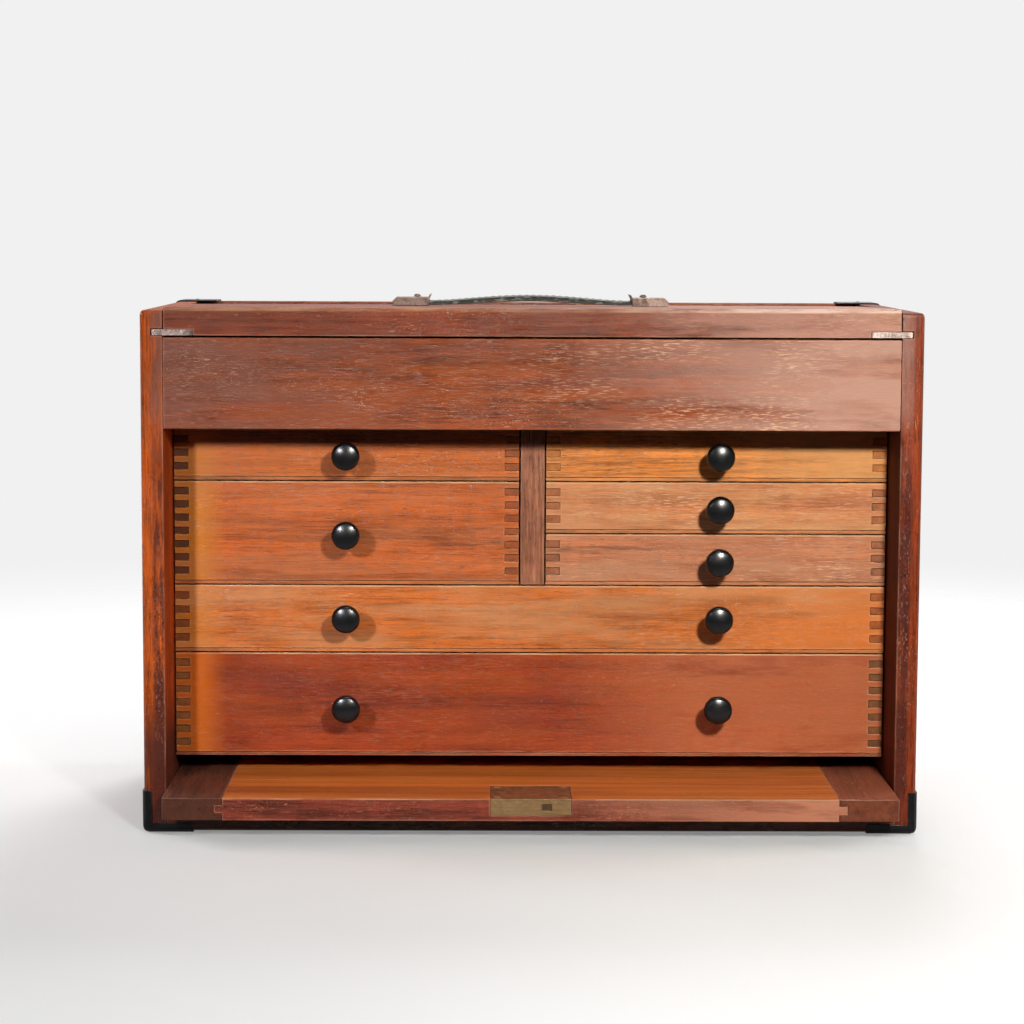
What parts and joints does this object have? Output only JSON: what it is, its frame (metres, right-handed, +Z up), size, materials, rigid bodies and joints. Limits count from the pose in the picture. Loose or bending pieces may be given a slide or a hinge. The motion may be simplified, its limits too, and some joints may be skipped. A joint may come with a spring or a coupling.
{
  "type": "engineer's tool chest",
  "caption": "Wooden bench tool chest with finger-jointed drawers, a sliding lid with a strap handle, and a lockable front panel stored in a slot under the drawers.",
  "frame": {"origin": "middle of the bounding box at the ground, front panel included", "axes": "+X along the width to the right, +Y from front to back, +Z up; the drawers face -Y"},
  "size_m": [0.5224, 0.2776, 0.3602],
  "materials": {
    "case_mahogany": "worn dark red-brown polish",
    "drawer_mahogany": "orange-brown polish",
    "drawer_sheet": "thin bare ply",
    "black_steel": "worn black japan",
    "bare_steel": "worn, a little rust",
    "plated_steel": "dull plating",
    "brass": "aged, scratched",
    "bakelite": "polished black",
    "leather": "dark, stitched edges"
  },
  "bodies": {
    "case": {"left_wall": "case_mahogany", "right_wall": "case_mahogany", "back_board": "case_mahogany", "bottom_board": "case_mahogany", "fascia": "case_mahogany", "tray_floor": "case_mahogany", "centre_post": "case_mahogany", "cap_front_left": "black_steel", "cap_front_right": "black_steel", "cap_back_left": "black_steel", "cap_back_right": "black_steel", "cap_top_left": "black_steel", "cap_top_right": "black_steel"},
    "lid": {"lid_board": "case_mahogany", "lid_bar_left": "bare_steel", "lid_bar_right": "bare_steel", "handle_strap": "leather", "keeper_left": "plated_steel", "keeper_right": "plated_steel", "rivet_left": "plated_steel", "rivet_right": "plated_steel"},
    "front_panel": {"panel_board": "case_mahogany", "panel_cleat_left": "case_mahogany", "panel_cleat_right": "case_mahogany", "lock_case": "brass", "lock_screw_1": "brass", "lock_screw_2": "brass", "lock_screw_3": "brass", "lock_screw_4": "brass"},
    "lock_bolt": {"lock_bolt": "brass"},
    "drawer_a1": {"drawer_a1_front": "drawer_mahogany", "drawer_a1_box": "drawer_mahogany", "drawer_a1_bottom": "drawer_sheet", "knob_a1": "bakelite"},
    "drawer_a2": {"drawer_a2_front": "drawer_mahogany", "drawer_a2_box": "drawer_mahogany", "drawer_a2_bottom": "drawer_sheet", "knob_a2": "bakelite"},
    "drawer_b1": {"drawer_b1_front": "drawer_mahogany", "drawer_b1_box": "drawer_mahogany", "drawer_b1_bottom": "drawer_sheet", "knob_b1": "bakelite"},
    "drawer_b2": {"drawer_b2_front": "drawer_mahogany", "drawer_b2_box": "drawer_mahogany", "drawer_b2_bottom": "drawer_sheet", "knob_b2": "bakelite"},
    "drawer_b3": {"drawer_b3_front": "drawer_mahogany", "drawer_b3_box": "drawer_mahogany", "drawer_b3_bottom": "drawer_sheet", "knob_b3": "bakelite"},
    "drawer_c": {"drawer_c_front": "drawer_mahogany", "drawer_c_box": "drawer_mahogany", "drawer_c_bottom": "drawer_sheet", "knob_c_l": "bakelite", "knob_c_r": "bakelite"},
    "drawer_d": {"drawer_d_front": "drawer_mahogany", "drawer_d_box": "drawer_mahogany", "drawer_d_bottom": "drawer_sheet", "knob_d_l": "bakelite", "knob_d_r": "bakelite"}
  },
  "joints": [
    {"name": "lid_slide", "type": "slide", "parent": "case", "child": "lid", "axis": [0, -1, 0], "range_m": [0, 0.19]},
    {"name": "drawer_a1_slide", "type": "slide", "parent": "case", "child": "drawer_a1", "axis": [0, -1, 0], "range_m": [0, 0.145]},
    {"name": "drawer_a2_slide", "type": "slide", "parent": "case", "child": "drawer_a2", "axis": [0, -1, 0], "range_m": [0, 0.145]},
    {"name": "drawer_b1_slide", "type": "slide", "parent": "case", "child": "drawer_b1", "axis": [0, -1, 0], "range_m": [0, 0.145]},
    {"name": "drawer_b2_slide", "type": "slide", "parent": "case", "child": "drawer_b2", "axis": [0, -1, 0], "range_m": [0, 0.145]},
    {"name": "drawer_b3_slide", "type": "slide", "parent": "case", "child": "drawer_b3", "axis": [0, -1, 0], "range_m": [0, 0.145]},
    {"name": "drawer_c_slide", "type": "slide", "parent": "case", "child": "drawer_c", "axis": [0, -1, 0], "range_m": [0, 0.145]},
    {"name": "drawer_d_slide", "type": "slide", "parent": "case", "child": "drawer_d", "axis": [0, -1, 0], "range_m": [0, 0.145]},
    {"name": "front_panel_slide", "type": "slide", "parent": "case", "child": "front_panel", "axis": [0, -1, 0], "range_m": [0, 0.22]},
    {"name": "lock_bolt_slide", "type": "slide", "parent": "front_panel", "child": "lock_bolt", "axis": [0, -1, 0], "range_m": [0, 0.006]}
  ]
}
